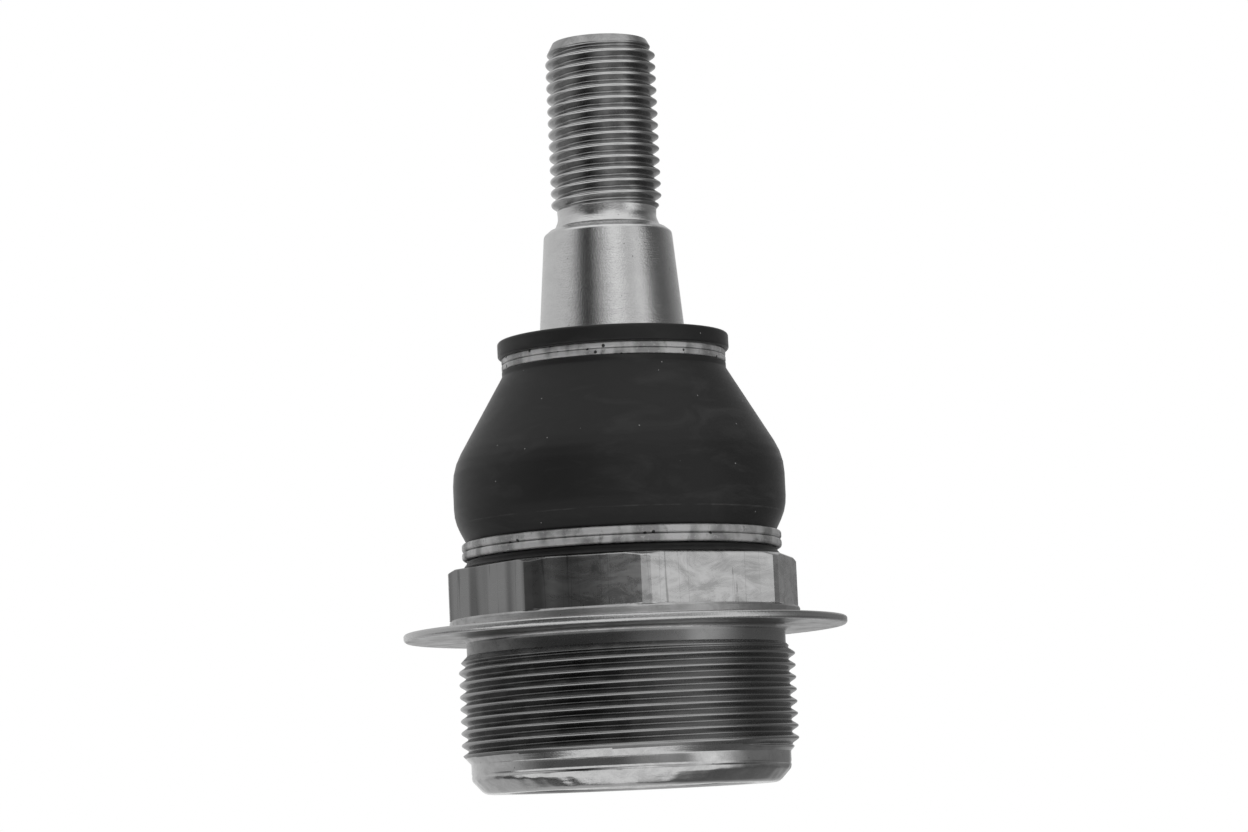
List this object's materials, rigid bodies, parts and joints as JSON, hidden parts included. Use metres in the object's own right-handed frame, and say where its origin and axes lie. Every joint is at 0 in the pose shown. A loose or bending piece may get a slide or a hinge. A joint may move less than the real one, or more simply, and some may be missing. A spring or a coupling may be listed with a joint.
{
  "type": "suspension ball joint",
  "caption": "Screw-in suspension ball joint: a tapered, threaded ball stud in a threaded housing with an octagonal drive head, a thin flange and a clamped rubber boot.",
  "frame": {"origin": "centre of the ball, on the axis of the housing's thread", "axes": "+Z along the axis towards the threaded stud; X and Y square to two pairs of the octagon's flats"},
  "size_m": [0.0554, 0.0554, 0.0943],
  "materials": {
    "housing_steel": "turned steel with a thin dark film of oil",
    "stud_steel": "ground and rolled bright steel",
    "boot_rubber": "satin black moulded rubber",
    "ring_wire": "dull light grey spring wire",
    "bearing_plastic": "natural off-white plastic",
    "spring_steel": "dark spring steel",
    "plate_steel": "pressed steel sheet",
    "seal_rubber": "black rubber"
  },
  "bodies": {
    "housing": {"housing": "housing_steel", "upper_bearing_shell": "bearing_plastic", "lower_bearing_shell": "bearing_plastic", "preload_spring": "spring_steel", "cover_plate": "plate_steel", "cover_seal_ring": "seal_rubber", "lower_clamp_ring": "ring_wire"},
    "boot": {"dust_boot": "boot_rubber"},
    "boot_collar": {"upper_clamp_ring": "ring_wire"},
    "stud": {"ball_stud": "stud_steel"}
  },
  "joints": [
    {"name": "tilt_x", "type": "hinge", "parent": "housing", "child": "boot", "pos_m": [0, 0, 0], "axis": [1, 0, 0], "range_deg": [-18, 18], "deforming": ["dust_boot"]},
    {"name": "tilt_y", "type": "hinge", "parent": "boot", "child": "boot_collar", "pos_m": [0, 0, 0], "axis": [0, 1, 0], "range_deg": [-18, 18], "deforming": ["dust_boot"]},
    {"name": "stud_spin", "type": "hinge", "parent": "boot_collar", "child": "stud", "pos_m": [0, 0, 0], "axis": [0, 0, 1], "continuous": true}
  ]
}
